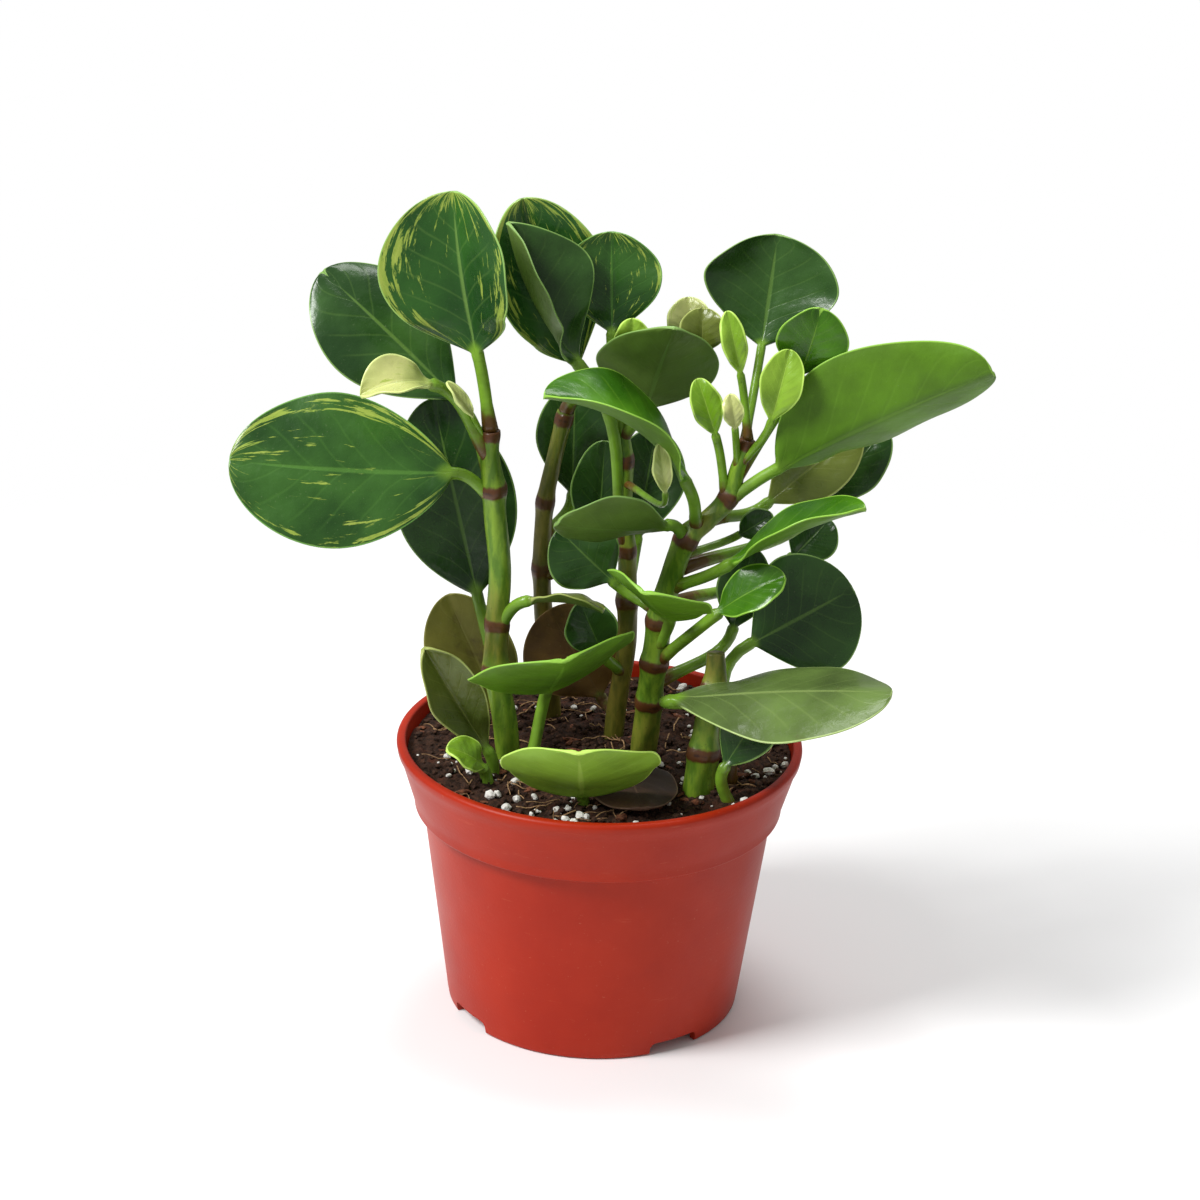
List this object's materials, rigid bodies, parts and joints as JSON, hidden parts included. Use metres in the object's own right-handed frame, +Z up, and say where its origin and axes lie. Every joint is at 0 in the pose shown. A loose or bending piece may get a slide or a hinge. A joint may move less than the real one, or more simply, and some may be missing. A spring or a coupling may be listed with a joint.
{
  "type": "potted peperomia",
  "caption": "Bushy variegated peperomia with thick rounded leaves on upright stems, growing from dark soil in a plain round plastic nursery pot.",
  "frame": {"origin": "under the middle of the whole plant's box, on the surface the pot stands on", "axes": "+Z up, +Y to the back, +X to the right seen from the front"},
  "size_m": [0.1846, 0.104, 0.2157],
  "materials": {
    "pot": "satin terracotta-red moulded plastic",
    "soil": "rough dark peat with fibres and pale grains",
    "stem": "waxy green stem with brown joints",
    "leaf": "glossy dark green leaf with pale yellow-green flecks",
    "leaf_pale": "satin yellow-green leaf",
    "leaf_old": "dull brown ageing leaf"
  },
  "bodies": {
    "root": {"leaf_back_centre": "leaf", "leaf_back_left": "leaf", "leaf_back_middle": "leaf", "leaf_centre_arched": "leaf", "leaf_centre_boat": "leaf", "leaf_centre_cupped": "leaf", "leaf_centre_dying": "leaf_old", "leaf_centre_glossy": "leaf", "leaf_centre_upper": "leaf", "leaf_front_broad": "leaf", "leaf_front_corner": "leaf", "leaf_front_dead": "leaf_old", "leaf_front_low": "leaf_pale", "leaf_front_raised": "leaf", "leaf_left_back": "leaf", "leaf_left_curled": "leaf_pale", "leaf_left_folded": "leaf", "leaf_left_inner": "leaf", "leaf_left_shaded": "leaf", "leaf_left_sprout": "leaf_pale", "leaf_left_upright": "leaf", "leaf_left_wide": "leaf", "leaf_left_yellowing": "leaf_old", "leaf_low_inner": "leaf", "leaf_right_cream_bud": "leaf_pale", "leaf_right_dark": "leaf", "leaf_right_grey": "leaf", "leaf_right_hidden": "leaf", "leaf_right_long": "leaf_pale", "leaf_right_notched": "leaf", "leaf_right_olive": "leaf", "leaf_right_shaded": "leaf", "leaf_right_short": "leaf", "leaf_right_small": "leaf", "leaf_right_wavy": "leaf", "leaf_right_yellow_bud": "leaf_pale", "leaf_shoot_left": "leaf_pale", "leaf_shoot_right": "leaf_pale", "leaf_top_back": "leaf", "leaf_top_bud": "leaf_pale", "leaf_top_folded": "leaf", "leaf_top_right_round": "leaf", "leaf_top_round": "leaf", "leaf_top_small": "leaf", "leaf_top_speckled": "leaf_pale", "pot": "pot", "soil": "soil", "stem_back": "stem", "stem_front": "stem", "stem_left": "stem", "stem_middle": "stem", "stem_right": "stem"}
  },
  "joints": []
}
